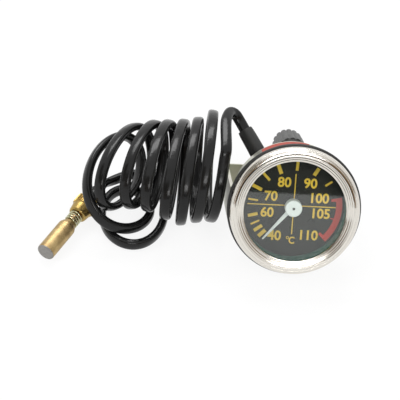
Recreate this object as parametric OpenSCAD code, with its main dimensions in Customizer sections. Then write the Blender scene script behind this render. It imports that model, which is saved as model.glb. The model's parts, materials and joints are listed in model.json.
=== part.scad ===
// Capillary water temperature gauge, leaning back on its case and its panel bracket,
// with its capillary wound in a loose hank. Millimetres, +Z up, the dial faces -Y.

/* [Case and bezel] */
// Radius of the case, which goes through a 52 mm panel hole
case_r = 26; // [25.5:0.1:26.5]
// Depth of the case behind the panel face
case_depth = 17.5; // [17:0.5:22]
// Thickness of the case's sheet steel
sheet_t = 0.8; // [0.6:0.1:0.9]
// Radius of the chrome bezel
bezel_r = 28; // [27.8:0.1:28.6]
// Radius of the opening in the bezel
opening_r = 22; // [21:0.5:22.5]
// Radius of the rubber panel gasket
gasket_r = 28.8; // [28.2:0.1:28.8]
// Depth of the dial's face behind the panel face
dial_drop = 5.5; // [5:0.1:5.8]

/* [Panel bracket] */
// Width of the bracket's steel strip
strip_w = 16; // [14:1:20]
// Thickness of the bracket's strip
strip_t = 1.4; // [1:0.1:1.6]
// How far behind the panel face the bracket's outer side is
strap_back = 46.75; // [45:0.25:49]
// Gap between the case's centre line and the inside of each leg
leg_x = 26.3; // [26.3:0.1:26.8]
// Distance from the centre line to each stud
stud_x = 14.5; // [13:0.5:16]
// Radius of the studs
stud_r = 2; // [1.5:0.25:2]

/* [Lamp holder] */
// Height of the lamp holder above the centre line
lamp_y = 19.2; // [19:0.1:19.4]
// Radius over the lobes of its grip
grip_r = 6.8; // [6:0.1:6.9]
// Number of lobes on its grip
grip_lobes = 16; // [12:1:20]
// How far the grip reaches behind the panel face
grip_back = 43; // [36:0.5:46]

/* [Pointer and movement] */
// Length of the pointer from its centre to its tip
needle_len = 19.5; // [16:0.1:20]
// Angle at which the pointer rests, left of straight down
needle_angle = 230.5; // [215:0.5:240]
// Teeth on the pinion
pinion_teeth = 10; // [10:1:10]
// Teeth on a full circle of the sector
sector_teeth = 100; // [100:10:100]
// Tooth size, pitch diameter over teeth
gear_module = 0.22; // [0.2:0.01:0.22]
// Mean radius of the curved pressure tube
bourdon_r = 15; // [14.8:0.1:15.2]

/* [Bulb end] */
// Radius of the sensing bulb
bulb_r = 4.05; // [4:0.05:4.2]
// Length of the bulb from its tip to its shoulder
bulb_len = 18.5; // [16:0.5:20]
// Radius of the gland nut over its knurl
nut_r = 5.4; // [5:0.1:5.6]
// Turns of the spring behind the bulb
neck_turns = 4; // [3:1:5]

/* [Sheathed capillary] */
// Diameter of the sheathed capillary
sheath_d = 4.4; // [4:0.1:4.4]

/* [Hidden] */
$fn = 64;
fit = 0.05;          // running clearance of a shaft in its hole
gap = 0.3;           // clearance between pieces that move past each other

// Heights along the gauge's own axis, measured from the panel face, forwards positive
back_z = -case_depth;
floor_z = back_z + 1;            // inside of the case's rear wall
gasket_t = 1.5;
flange_z = 2;                    // rear of the case's front flange
flange_t = 0.6;
seal_z = flange_z + flange_t;
seal_t = 0.4;
glass_z = seal_z + seal_t;
glass_t = 1.3;
dial_z = -dial_drop;
dial_t = 0.6;
plate_t = 0.9;
front_plate_z = -9.6;
gear_z = -12.6;
gear_t = 0.8;

// The gauge rests on the rear edge of its case and on the lower edge of its bracket
lean = atan((case_r - strip_w / 2) / (strap_back - case_depth));
terminal_back = grip_back + 7;
terminal_w = 4.8;
terminal_gap = 2.6;
seat_z = case_r * cos(lean) + case_depth * sin(lean);
front_reach = max([for (p = bezel_profile()) p[0] * sin(lean) + p[1] * cos(lean)]);
rear_reach = (lamp_y + terminal_w / 2) * sin(lean) + terminal_back * cos(lean);
seat_y = (front_reach - rear_reach) / 2;
// Where the case touches the surface: the capillary's points are measured from here
rest_y = seat_y - case_r * sin(lean) + case_depth * cos(lean);

// A point of the gauge's own frame, in the frame of the surface
function stood(p) = [p[0], p[1] * sin(lean) - p[2] * cos(lean) + seat_y,
    p[1] * cos(lean) + p[2] * sin(lean) + seat_z];
function unit(v) = v / norm(v);
function arc(r, a0, a1, steps) = [for (i = [0:steps]) let (a = a0 + (a1 - a0) * i / steps)
    [r * cos(a), r * sin(a)]];

module stand() { translate([0, seat_y, seat_z]) rotate([90 - lean, 0, 0]) children(); }

// Tube of a given radius between two points, as a true cylinder
module rod(a, b, r) {
    v = b - a;
    translate(a) rotate([0, acos(v[2] / norm(v)), atan2(v[1], v[0])]) cylinder(r = r, h = norm(v));
}
module ring(r_out, r_in, z0, h) {
    translate([0, 0, z0]) difference() {
        cylinder(r = r_out, h = h);
        translate([0, 0, -1]) cylinder(r = r_in, h = h + 2);
    }
}
module pin(x, y, r, z0, z1) { translate([x, y, z0]) cylinder(r = r, h = z1 - z0); }

// Solid tube along points, each ring turned towards its own guide direction
module sweep(points, guides, r, sides) {
    n = len(points);
    tangents = [for (i = [0:n - 1]) unit(points[min(i + 1, n - 1)] - points[max(i - 1, 0)])];
    verts = [for (i = [0:n - 1]) let (
        t = tangents[i], u = unit(guides[i] - (guides[i] * t) * t), v = cross(t, u))
        for (k = [0:sides - 1]) let (a = 360 * k / sides)
            points[i] + r * (cos(a) * u + sin(a) * v)];
    walls = [for (i = [0:n - 2], k = [0:sides - 1]) let (
        a = i * sides + k, b = i * sides + (k + 1) % sides)
        each [[a, a + sides, b], [b, a + sides, b + sides]]];
    ends = [for (k = [1:sides - 2]) each [[0, k, k + 1],
        [(n - 1) * sides, (n - 1) * sides + k + 1, (n - 1) * sides + k]]];
    polyhedron(points = verts, faces = concat(walls, ends), convexity = 10);
}

// Case and front

module case_can() {
    color("lightyellow") stand() difference() {
        union() {
            translate([0, 0, back_z]) cylinder(r = case_r, h = seal_z - back_z);
            translate([0, 0, flange_z]) cylinder(r = bezel_r - 1, h = flange_t);
        }
        translate([0, 0, floor_z]) cylinder(r = case_r - sheet_t, h = seal_z - floor_z + 1);
        translate([0, lamp_y, back_z - 1]) cylinder(r = spigot_r + fit, h = 4);
        translate([nipple_x, nipple_y, back_z - 1]) cylinder(r = nipple_r, h = 4);
        for (side = [-1, 1])
            translate([side * stud_x, 0, back_z - 1]) cylinder(r = stud_r, h = 4);
    }
}

// Outer skin from the rolled rear edge to the lip, then the inside back again
function bezel_profile() = concat(
    [[case_r + 0.2, gasket_t], [bezel_r - 0.6, gasket_t], [bezel_r, gasket_t + 0.7]],
    [for (a = [0:15:75]) [bezel_r - 2.6 + 2.6 * cos(a), 3.1 + 2.8 * sin(a)]],
    [[bezel_r - 3, 5.9], [bezel_r - 3.3, 5.6], [bezel_r - 3.8, 5.7], [opening_r + 0.3, 5.1],
     [opening_r, 4.9], [opening_r, 4.3], [opening_r + 2, 4.3], [bezel_r - 2.6, 5.1]],
    [for (a = [70:-20:10]) [bezel_r - 2.6 + 1.9 * cos(a), 3.1 + 2.0 * sin(a)]],
    [[bezel_r - 0.7, flange_z], [case_r + 0.2, flange_z]]);

module bezel() {
    color("silver") stand() rotate_extrude($fn = 96) polygon(bezel_profile());
}
module panel_gasket() {
    color([0.08, 0.08, 0.08]) stand() rotate_extrude() polygon([[case_r + 0.25, 0],
        [gasket_r - 0.2, 0], [gasket_r, 0.2], [gasket_r, 1.1], [gasket_r - 0.3, gasket_t],
        [case_r + 0.25, gasket_t]]);
}
module glass() {
    color("lightblue", 0.4) stand() translate([0, 0, glass_z]) cylinder(r = bezel_r - 1.4, h = glass_t);
}
module glass_seal() {
    color([0.1, 0.1, 0.1]) stand() ring(bezel_r - 1.4, case_r - sheet_t - 0.8, seal_z, seal_t);
}
module spacer_ring() {
    color("darkgreen") stand() rotate_extrude() polygon([[case_r - sheet_t - 0.1, dial_z],
        [case_r - 2.6, dial_z], [case_r - 2.2, dial_z + 1.5], [case_r - 1.8, seal_z - 0.2],
        [case_r - sheet_t - 0.1, seal_z - 0.2]]);
}

// Dial and its fixings

dial_post_x = 8.5;
dial_post_y = -6.7;
module at_dial_posts() { for (side = [-1, 1]) translate([side * dial_post_x, dial_post_y, 0]) children(); }

module dial_plate() {
    color([0.12, 0.12, 0.12]) stand() difference() {
        translate([0, 0, dial_z - dial_t]) cylinder(r = case_r - sheet_t - 0.2, h = dial_t);
        translate([0, 0, dial_z - 2]) cylinder(r = 1.6, h = 4);
        at_dial_posts() translate([0, 0, dial_z - 2]) cylinder(r = 0.8, h = 4);
    }
}
module dial_screws() {
    color([0.1, 0.1, 0.1]) stand() at_dial_posts() {
        difference() {
            translate([0, 0, dial_z]) cylinder(r1 = 1.5, r2 = 1.3, h = 0.6);
            translate([-2, -0.2, dial_z + 0.35]) cube([4, 0.4, 1]);
        }
        pin(0, 0, 0.75, dial_z - 2.2, dial_z);
    }
}
module dial_posts() {
    color("goldenrod") stand() at_dial_posts() difference() {
        pin(0, 0, 1.4, front_plate_z, dial_z - dial_t);
        pin(0, 0, 0.75, dial_z - 2.2, dial_z);
    }
}
// Bare red strip round the top of the case
module red_band() {
    color("indianred") stand() translate([0, 0, -15.5]) rotate([0, 0, 76])
        rotate_extrude(angle = 47) translate([case_r, 0]) square([0.15, 14]);
}

// Movement: the tube uncurls, its link pulls the sector, and the sector turns the pinion

pinion_r = gear_module * pinion_teeth / 2;
sector_r = gear_module * sector_teeth / 2;
mesh_angle = 55;                       // from the sector's pivot towards the spindle
pivot = -(pinion_r + sector_r) * [cos(mesh_angle), sin(mesh_angle)];
socket_angle = 208;
tip_angle = -50;
tip = bourdon_r * [cos(tip_angle), sin(tip_angle)];
tail_len = 4.5;
tail = pivot + tail_len * [cos(-93), sin(-93)];
pillar_angles = [30, 150, 300];
pillar_ring = 12;
tube_w = 5.6;
tube_t = 2.2;
tube_z = -11.6;

// Straight-sided teeth from one index to another, on a disc of the given teeth
function tooth_points(teeth, from, to, turn) = let (
    r = gear_module * teeth / 2, p = 360 / teeth)
    [for (k = [from:to]) let (a = turn + k * p) each [
        (r - 1.15 * gear_module) * [cos(a - 0.27 * p), sin(a - 0.27 * p)],
        (r + 0.8 * gear_module) * [cos(a - 0.10 * p), sin(a - 0.10 * p)],
        (r + 0.8 * gear_module) * [cos(a + 0.10 * p), sin(a + 0.10 * p)],
        (r - 1.15 * gear_module) * [cos(a + 0.27 * p), sin(a + 0.27 * p)]]];

module back_plate() {
    color("gold") stand() translate([0, 0, floor_z]) linear_extrude(plate_t) difference() {
        union() {
            circle(r = pillar_ring - 3.5);
            for (a = pillar_angles) rotate(a) translate([0, -2.2]) square([pillar_ring, 4.4]);
            for (a = pillar_angles) rotate(a) translate([pillar_ring, 0]) circle(r = 2.2);
            translate(pivot) circle(r = 2);
        }
        circle(r = 0.5 + fit);
        translate(pivot) circle(r = 0.5 + fit);
        translate([nipple_x, nipple_y]) circle(r = nipple_r + gap);
        for (a = pillar_angles) rotate(a) translate([pillar_ring, 0]) circle(r = 0.8);
    }
}
module front_plate() {
    color("gold") stand() translate([0, 0, front_plate_z - plate_t]) linear_extrude(plate_t)
        difference() {
            union() {
                circle(r = 5);
                for (a = pillar_angles) rotate(a) translate([0, -1.8]) square([pillar_ring, 3.6]);
                for (a = pillar_angles) rotate(a) translate([pillar_ring, 0]) circle(r = 1.8);
                translate(pivot) circle(r = 2);
                rotate(mesh_angle + 180) translate([0, -1.6]) square([norm(pivot), 3.2]);
                for (side = [-1, 1]) {
                    translate([side * dial_post_x, dial_post_y]) circle(r = 1.8);
                    rotate(side < 0 ? 218.2 : 321.8) translate([0, -1.2]) square([10, 2.4]);
                }
            }
            circle(r = 0.7 + fit);
            translate(pivot) circle(r = 0.5 + fit);
            for (a = pillar_angles) rotate(a) translate([pillar_ring, 0]) circle(r = 0.8);
        }
}
module at_pillars() { for (a = pillar_angles) rotate([0, 0, a]) translate([pillar_ring, 0, 0]) children(); }
module plate_pillars() {
    color("goldenrod") stand() at_pillars() difference() {
        pin(0, 0, 1.5, floor_z + plate_t, front_plate_z - plate_t);
        pin(0, 0, 0.8, front_plate_z - plate_t - 2, front_plate_z);
    }
}
module plate_screws() {
    color("silver") stand() at_pillars() {
        pin(0, 0, 0.8, front_plate_z - plate_t - 2, front_plate_z);
        difference() {
            translate([0, 0, front_plate_z]) cylinder(r = 1.5, h = 0.8);
            translate([-2, -0.2, front_plate_z + 0.45]) cube([4, 0.4, 1]);
        }
    }
}
module bourdon_tube() {
    wall = 0.35;
    color("tan") stand() {
        translate([0, 0, tube_z]) rotate([0, 0, tip_angle]) rotate_extrude(angle = socket_angle - tip_angle - 8)
            translate([bourdon_r, 0]) difference() {
                square([tube_t, tube_w], center = true);
                square([tube_t - 2 * wall, tube_w - 2 * wall], center = true);
            }
        // closed end with the pin that pulls the link
        translate([tip[0], tip[1], tube_z]) rotate([0, 0, tip_angle - 90]) {
            translate([0, -tube_t / 2, -tube_w / 2]) cube([1.2, tube_t, tube_w]);
            translate([1.2, -0.6, -0.9]) cube([1.6, 1.2, 1]);
            translate([2.2, 0, -1.9]) cylinder(r = 0.4, h = 1.2);
        }
    }
}
module bourdon_socket() {
    color("goldenrod") stand() rotate([0, 0, socket_angle - 8]) difference() {
        translate([bourdon_r - 2.4, -0.1, floor_z]) cube([4.8, 6, tube_z + tube_w / 2 + 0.6 - floor_z]);
        translate([bourdon_r - tube_t / 2, -1, tube_z - tube_w / 2]) cube([tube_t, 0.9, tube_w]);
        translate([bourdon_r, 4, floor_z - 1]) cylinder(r = 0.6, h = 3);
    }
}
// Bare capillary from the rear nipple round to the socket
module inner_capillary() {
    z = floor_z + plate_t + 0.9;
    points = [[nipple_x, nipple_y, back_z], [nipple_x, nipple_y, z - 0.8],
        [nipple_x - 0.3, nipple_y - 0.9, z], [-8.2, -6.3, z], [-8.9, -7.4, z], [-11.2, -8.3, z]];
    color("peru") stand() sweep(points, [for (p = points) [1, -1, 0.6]], 0.6, 8);
}
module sector_gear() {
    half = 2;
    color("gold") stand() translate([pivot[0], pivot[1], gear_z]) linear_extrude(gear_t) difference() {
        union() {
            circle(r = 2);
            rotate(mesh_angle) difference() {
                polygon(concat([[0, 0]], tooth_points(sector_teeth, -10, half, 0)));
                polygon(concat([[1.4, 0.2]], arc(sector_r - 1.6, -33, 4, 8)));
            }
            rotate(-93) translate([0, -1]) square([tail_len, 2]);
            rotate(-93) translate([tail_len, 0]) circle(r = 1.1);
        }
        circle(r = 0.7);
        rotate(-93) translate([tail_len, 0]) circle(r = 0.45);
    }
}
module sector_arbor() {
    color("silver") stand() translate([pivot[0], pivot[1], 0]) {
        pin(0, 0, 0.7, floor_z + plate_t + 0.1, front_plate_z - plate_t - 0.1);
        pin(0, 0, 0.5, floor_z + 0.2, front_plate_z - 0.2);
    }
}
module tip_link() {
    far = tip + 2.2 * [cos(tip_angle - 90), sin(tip_angle - 90)];
    v = far - tail;
    color("silver") stand() translate([tail[0], tail[1], 0]) {
        rotate([0, 0, atan2(v[1], v[0])]) translate([0, 0, gear_z - 0.6]) linear_extrude(0.5) difference() {
            union() {
                circle(r = 1);
                translate([0, -0.5]) square([norm(v), 1]);
                translate([norm(v), 0]) circle(r = 1);
            }
            translate([norm(v), 0]) circle(r = 0.5);
        }
        pin(0, 0, 0.4, gear_z - 0.6, gear_z + gear_t + 0.2);
    }
}
module pinion() {
    color("gold") stand() translate([0, 0, gear_z - 0.2]) linear_extrude(gear_t + 0.4) difference() {
        polygon(tooth_points(pinion_teeth, 0, pinion_teeth - 1, mesh_angle + 180 + 180 / pinion_teeth));
        circle(r = 0.6);
    }
}
module spindle() {
    color("silver") stand() {
        pin(0, 0, 0.5, floor_z + 0.2, gear_z - 0.2);
        pin(0, 0, 0.6, gear_z - 0.2, gear_z + gear_t + 0.2);
        pin(0, 0, 0.7, gear_z + gear_t + 0.2, hub_z + hub_h);
    }
}
// Flat spiral that takes up the play between the teeth
module hairspring() {
    turns = 4;
    steps = 24 * turns;
    function coil(i, off) = let (r = 1.1 + 3.1 * i / steps + off, a = 15 * i) [r * cos(a), r * sin(a)];
    color("gold") stand() translate([0, 0, -11.15]) linear_extrude(0.5)
        polygon(concat([for (i = [0:steps]) coil(i, 0)], [for (i = [steps:-1:0]) coil(i, 0.2)]));
}

// Pointer

hub_r = 3.7;
hub_z = -4.4;
hub_h = 3.9;
needle_t = 0.5;
module needle() {
    root_w = 2;
    tip_w = 0.7;
    color("white") stand() rotate([0, 0, needle_angle]) translate([0, 0, hub_z + 0.2])
        linear_extrude(needle_t) difference() {
            polygon([[0, -root_w * 0.9], [hub_r - 0.4, -root_w * 0.9], [hub_r + 1.2, -root_w / 2],
                [needle_len - 0.4, -tip_w / 2], [needle_len, 0], [needle_len - 0.4, tip_w / 2],
                [hub_r + 1.2, root_w / 2], [hub_r - 0.4, root_w * 0.9], [0, root_w * 0.9]]);
            circle(r = hub_r - 0.6);
        }
}
module needle_hub() {
    color("white") stand() difference() {
        rotate_extrude() polygon([[0, hub_z], [hub_r, hub_z], [hub_r, hub_z + hub_h - 0.5],
            [hub_r - 0.5, hub_z + hub_h], [0, hub_z + hub_h]]);
        pin(0, 0, 0.7, hub_z - 1, hub_z + hub_h + 1);
        rotate([0, 0, needle_angle]) translate([0, 0, hub_z + 0.2]) linear_extrude(needle_t)
            difference() {
                translate([0, -1.8]) square([5, 3.6]);
                circle(r = hub_r - 0.6);
            }
    }
}

// Capillary outlet

nipple_x = -5;
nipple_y = 3;
nipple_r = 2.6;
boot_from = [nipple_x, nipple_y, -24];
boot_to = [-20.5, 26.3, -34.7];
boot_r = 3.45;
module rear_nipple() {
    color("goldenrod") stand() difference() {
        union() {
            translate([nipple_x, nipple_y, 0]) pin(0, 0, nipple_r, boot_from[2] - 0.5, floor_z);
            translate([nipple_x, nipple_y, 0]) pin(0, 0, nipple_r + 1.2, back_z - 1.4, back_z);
        }
        translate([nipple_x, nipple_y, 0]) pin(0, 0, 0.6, back_z - 3, floor_z + 1);
    }
}
module boot() {
    v = unit(boot_to - boot_from);
    neck = boot_from + 3 * v;
    color([0.1, 0.1, 0.1]) stand() difference() {
        union() {
            translate([nipple_x, nipple_y, 0]) pin(0, 0, boot_r, boot_from[2], back_z - 2);
            translate(boot_from) sphere(r = boot_r);
            rod(boot_from, boot_to, boot_r);
        }
        translate([nipple_x, nipple_y, 0]) pin(0, 0, nipple_r, boot_from[2] - 0.5, back_z);
        rod(neck, boot_to + v, 1.2);
    }
}

// Studs, bracket and nuts

stud_end = strap_back + 8.5;
washer_t = 0.9;
stud_nut_h = 3.2;
leg_end = -2.3;
module studs() {
    color("silver") stand() for (side = [-1, 1]) {
        pin(side * stud_x, 0, stud_r, -stud_end, floor_z);
        pin(side * stud_x, 0, stud_r + 1.4, floor_z, floor_z + 0.8);
        pin(side * stud_x, 0, stud_r + 1.4, back_z - 0.8, back_z);
    }
}
module bracket() {
    bend = 2.4;
    outer = leg_x + strip_t;
    color("darkseagreen") stand() difference() {
        translate([0, strip_w / 2, 0]) rotate([90, 0, 0]) linear_extrude(strip_w) difference() {
            union() {
                translate([-outer, -strap_back + bend]) square([2 * outer, strap_back - bend + leg_end]);
                translate([-outer + bend, -strap_back]) square([2 * (outer - bend), bend + 1]);
                for (side = [-1, 1]) translate([side * (outer - bend), -strap_back + bend]) circle(r = bend);
            }
            translate([-leg_x, -strap_back + bend]) square([2 * leg_x, strap_back]);
            translate([-leg_x + 1, -strap_back + strip_t]) square([2 * leg_x - 2, 2]);
            for (side = [-1, 1])
                translate([side * (outer - bend), -strap_back + bend]) circle(r = bend - strip_t);
        }
        for (side = [-1, 1])
            translate([side * stud_x, 0, -strap_back - 1]) cylinder(r = stud_r + 0.25, h = strip_t + 2);
    }
}
module washers() {
    color("silver") stand() for (side = [-1, 1])
        translate([side * stud_x, 0, 0]) ring(4.2, stud_r + 0.25, -strap_back - washer_t, washer_t);
}
module stud_nut(side) {
    color("silver") stand() translate([side * stud_x, 0, -strap_back - washer_t - stud_nut_h]) difference() {
        intersection() {
            cylinder(r = 7 / sqrt(3), h = stud_nut_h, $fn = 6);
            cylinder(r1 = 3.6, r2 = 3.6 + stud_nut_h, h = stud_nut_h);
        }
        translate([0, 0, -1]) cylinder(r = stud_r + fit, h = stud_nut_h + 2);
    }
}
module nut_left() { stud_nut(-1); }
module nut_right() { stud_nut(1); }

// Lamp holder, which pulls out of the back of the case

spigot_r = 4.9;
module at_lamp() { translate([0, lamp_y, 0]) children(); }
module lamp_holder() {
    neck_back = 23.5;
    lobe = grip_r * sin(180 / grip_lobes);
    color([0.12, 0.12, 0.12]) stand() at_lamp() difference() {
        union() {
            translate([0, 0, -grip_back]) linear_extrude(grip_back - neck_back) difference() {
                circle(r = grip_r);
                for (k = [0:grip_lobes - 1]) rotate(360 * (k + 0.5) / grip_lobes)
                    translate([grip_r + lobe * 0.35, 0]) circle(r = lobe * 0.7);
            }
            pin(0, 0, spigot_r + 0.6, -neck_back, back_z);
            pin(0, 0, grip_r - 0.3, back_z - 1.2, back_z);
            pin(0, 0, spigot_r, back_z, floor_z + 1.2);
        }
        pin(0, 0, 2.6, -grip_back + 3, floor_z + 3);
        for (side = [-1, 1])
            translate([side * terminal_gap - 0.25, -terminal_w / 2, -grip_back - 1]) cube([0.5, terminal_w, 4]);
    }
}
module lamp() {
    color("white", 0.6) stand() at_lamp() {
        pin(0, 0, 2.6, -30, back_z - 1);
        pin(0, 0, 2.4, back_z - 1, -11.5);
        translate([0, 0, -11.5]) difference() {
            sphere(r = 2.4);
            translate([-3, -3, -6]) cube(6);
        }
    }
}
module lamp_terminals() {
    color("silver") stand() at_lamp() for (side = [-1, 1])
        translate([side * terminal_gap - 0.25, -terminal_w / 2, -terminal_back])
            cube([0.5, terminal_w, terminal_back - grip_back + 3]);
}

// Bulb end, which lies on the surface on its gland nut and on its tip

nut_front = 25.5;                        // from the bulb's tip
nut_len = 9.5;
knurl_len = 4.6;
nut_at = nut_front + nut_len - knurl_len;
sleeve_len = 8;
sleeve_grip = 5;
sleeve_r = 3.2;
neck_r = 1.9;
bulb_heading = 60.8;                     // from the tip back to the nut, from +x towards +y
bulb_slope = asin((nut_r - bulb_r) / nut_at);
bulb_tip_at = [-106, -8.7 + rest_y, bulb_r];
bulb_way = [cos(bulb_slope) * cos(bulb_heading), cos(bulb_slope) * sin(bulb_heading), sin(bulb_slope)];
sleeve_end = bulb_tip_at + (nut_front + nut_len + gap + sleeve_len) * bulb_way;

// Sheathed capillary: a lead out of the boot, a hank of loops, and a tail to the bulb

// One row for each loop of the hank: middle in x, middle in y, half length in y,
// lowest z, height, lean of its top to the left, and skew. Measured from the point
// where the case touches the surface.
LOOPS = [
    [-29.2, 31, 25, 2.6, 40, -1, 0.2],
    [-35.5, 30.5, 26, 2.6, 42, -0.4, 0.8],
    [-42, 29.6, 25, 2.6, 38, 0.4, 1.6],
    [-48.6, 29, 26.5, 2.6, 35, 1.2, 2.4],
    [-55.4, 29, 24, 8.4, 29, 3, 3.4],
    [-62.6, 30, 21.8, 8.4, 29, 3.6, 5.4],
    [-70, 29.4, 20.6, 8.6, 28, 6, 6.2],
    [-79.4, 27, 20, 8.6, 24, 9, 9.6],
    [-71, 16.4, 16.5, 2.6, 1.5, 11.5, 0],
    [-67.6, 20, 22, 2.6, 3, 14, 0],
    [-67.6, 20, 22, 2.6, 3, 14, 0]];
hank_start = 0.36;     // turns
hank_end = 9.07;
rings_per_turn = 24;
// Points of the two free stretches, also measured from the case's point of contact
LEAD = [[-25, 46.9, 40.2], [-27.4, 46, 42.2], [-29, 42, 43.6], [-29.8, 35.6, 44.2]];
TAIL = [];             // its two ends already meet in one bend

// A loop's row at any number of turns, eased from one row to the next
function loop_row(s) = let (i = floor(s), f = (1 - cos(180 * (s - i))) / 2)
    LOOPS[i] * (1 - f) + LOOPS[i + 1] * f;
function hank_point(s) = let (w = loop_row(s), a = 360 * s) [
    w[0] - w[5] * sin(a) + w[6] * cos(a), w[1] + w[2] * cos(a) + rest_y,
    w[3] + w[4] / 2 * (1 + sin(a))];
function hank_guide(s) = let (w = loop_row(s)) hank_point(s) - [w[0], w[1] + rest_y, w[3] + w[4] / 2];
function hank_tangent(s) = unit(hank_point(s + 0.002) - hank_point(s - 0.002));
hank_turns = [for (i = [0:floor((hank_end - hank_start) * rings_per_turn)]) hank_start + i / rings_per_turn];
hank_last = hank_turns[len(hank_turns) - 1];
hank_in = hank_point(hank_start) - sheath_d * hank_tangent(hank_start);
hank_out = hank_point(hank_last) + sheath_d * hank_tangent(hank_last);
hank_points = concat([hank_in], [for (s = hank_turns) hank_point(s)], [hank_out]);
hank_guides = concat([hank_guide(hank_start)], [for (s = hank_turns) hank_guide(s)], [hank_guide(hank_last)]);
hank_gap = min([for (i = [0:len(hank_points) - 10], j = [i + 9:len(hank_points) - 1])
    norm(hank_points[i] - hank_points[j])]) - sheath_d;
echo(str("least gap between the hank's turns: ", hank_gap, " mm"));

function placed(points) = [for (p = points) p + [0, rest_y, 0]];
function length(points) = len(points) < 2 ? 0
    : norm(points[1] - points[0]) + length([for (i = [1:len(points) - 1]) points[i]]);
up = [0, 0, 1];
module free_sheath(points) {
    color([0.1, 0.1, 0.1]) sweep(points, [for (p = points) up], sheath_d / 2, 8);
}
boot_end = stood(boot_to);
boot_way = unit(stood(boot_to) - stood(boot_from));
lead_points = concat([boot_end, boot_end + sheath_d * boot_way], placed(LEAD),
    [hank_in - sheath_d * hank_tangent(hank_start), hank_in]);
tail_points = concat([hank_out, hank_out + sheath_d * hank_tangent(hank_last)], placed(TAIL),
    [sleeve_end + sheath_d * bulb_way, sleeve_end]);
echo(str("sheathed capillary: lead ", length(lead_points), ", hank ", length(hank_points),
    ", tail ", length(tail_points), " mm"));

module sheath_lead() { free_sheath(lead_points); }
module sheath_hank() {
    color([0.1, 0.1, 0.1]) sweep(hank_points, hank_guides, sheath_d / 2, 6);
}
module sheath_tail() { free_sheath(tail_points); }

// Bulb end

module at_bulb() {
    translate(bulb_tip_at) rotate([0, 90 - bulb_slope, bulb_heading]) children();
}
module end_sleeve() {
    color([0.1, 0.1, 0.1]) at_bulb() difference() {
        pin(0, 0, sleeve_r, nut_front + nut_len + gap, nut_front + nut_len + gap + sleeve_len);
        pin(0, 0, neck_r, nut_front + nut_len, nut_front + nut_len + gap + sleeve_grip);
    }
}
module neck_tube() {
    color("goldenrod") at_bulb() pin(0, 0, neck_r, bulb_len + 1, nut_front + nut_len + gap + sleeve_grip);
}
module gland_nut() {
    teeth = 30;
    color("gold") at_bulb() difference() {
        union() {
            translate([0, 0, nut_front]) cylinder(r1 = nut_r - 1.3, r2 = nut_r - 0.55, h = nut_len - knurl_len);
            translate([0, 0, nut_front + nut_len - knurl_len]) linear_extrude(knurl_len)
                polygon([for (k = [0:2 * teeth - 1]) let (r = nut_r - (k % 2) * 0.35, a = 180 * k / teeth)
                    [r * cos(a), r * sin(a)]]);
        }
        translate([0, 0, nut_front - 1]) cylinder(r = neck_r + fit, h = nut_len + 2);
    }
}
module neck_spring() {
    wire_r = 0.35;
    mean_r = 2.9;
    rings = 8 * neck_turns;
    from = bulb_len + 1 + wire_r - 0.1;     // the first turn is soldered to the shoulder
    to = nut_front - wire_r - 0.1;
    pts = [for (i = [0:rings]) let (a = 45 * i)
        [mean_r * cos(a), mean_r * sin(a), from + (to - from) * i / rings]];
    color("silver") at_bulb()
        sweep(pts, [for (i = [0:rings]) [cos(45 * i), sin(45 * i), 0]], wire_r, 6);
}
module bulb_body() {
    color("peru") at_bulb() difference() {
        rotate_extrude() polygon([[0, tip_len], [bulb_r, tip_len], [bulb_r, bulb_len - 1.5],
            [bulb_r - 0.6, bulb_len + 1], [0, bulb_len + 1]]);
        pin(0, 0, bulb_r - 0.8, tip_len - 1, bulb_len - 3);
    }
}
tip_len = 3;
module bulb_tip() {
    color("gray") at_bulb() rotate_extrude() polygon([[0, 0], [bulb_r - 0.6, 0], [bulb_r, 0.6],
        [bulb_r, tip_len], [0, tip_len]]);
}

case_can();
bezel();
panel_gasket();
glass();
glass_seal();
spacer_ring();
dial_plate();
dial_screws();
dial_posts();
red_band();
back_plate();
front_plate();
plate_pillars();
plate_screws();
bourdon_tube();
bourdon_socket();
inner_capillary();
tip_link();
sector_gear();
sector_arbor();
pinion();
spindle();
hairspring();
needle();
needle_hub();
rear_nipple();
boot();
studs();
bracket();
washers();
nut_left();
nut_right();
lamp_holder();
lamp();
lamp_terminals();
sheath_lead();
sheath_hank();
sheath_tail();
end_sleeve();
neck_tube();
gland_nut();
neck_spring();
bulb_body();
bulb_tip();
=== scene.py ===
"""Dressed model of a capillary water temperature gauge with its sheathed capillary and bulb."""

import json
import math

import bmesh
import bpy
import numpy as np
from mathutils import Matrix, Vector


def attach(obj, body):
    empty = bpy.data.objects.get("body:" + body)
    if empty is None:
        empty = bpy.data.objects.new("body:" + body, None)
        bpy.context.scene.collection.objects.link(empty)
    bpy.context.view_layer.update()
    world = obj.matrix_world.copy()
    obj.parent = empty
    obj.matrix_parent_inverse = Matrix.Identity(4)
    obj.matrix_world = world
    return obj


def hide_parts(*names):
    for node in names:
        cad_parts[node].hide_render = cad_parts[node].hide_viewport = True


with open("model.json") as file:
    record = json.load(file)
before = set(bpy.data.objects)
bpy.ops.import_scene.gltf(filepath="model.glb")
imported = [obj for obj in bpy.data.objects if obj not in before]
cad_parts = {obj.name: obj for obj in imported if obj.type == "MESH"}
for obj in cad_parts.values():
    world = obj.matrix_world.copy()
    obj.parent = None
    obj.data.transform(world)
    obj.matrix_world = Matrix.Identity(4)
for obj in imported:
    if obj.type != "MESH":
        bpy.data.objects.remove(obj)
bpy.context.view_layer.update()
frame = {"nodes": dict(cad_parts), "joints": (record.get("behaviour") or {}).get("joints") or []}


# Where the gauge stands. The head leans back on the rear edge of its case and on the
# lower edge of its panel bracket. The pointer's joint gives its axis, and the gauge's
# own frame is in millimetres from the middle of the panel face, +z out of the dial.
MM = 0.001
GEAR_DEPTH = 12.6  # the pointer's joint is placed at its pinion, behind the panel face
CASE_R, CASE_DEPTH = 26.0, 17.5
turn = next(j for j in frame["joints"] if j["name"] == "pointer_turn")
forward = Vector(turn["axis"]).normalized()
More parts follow.
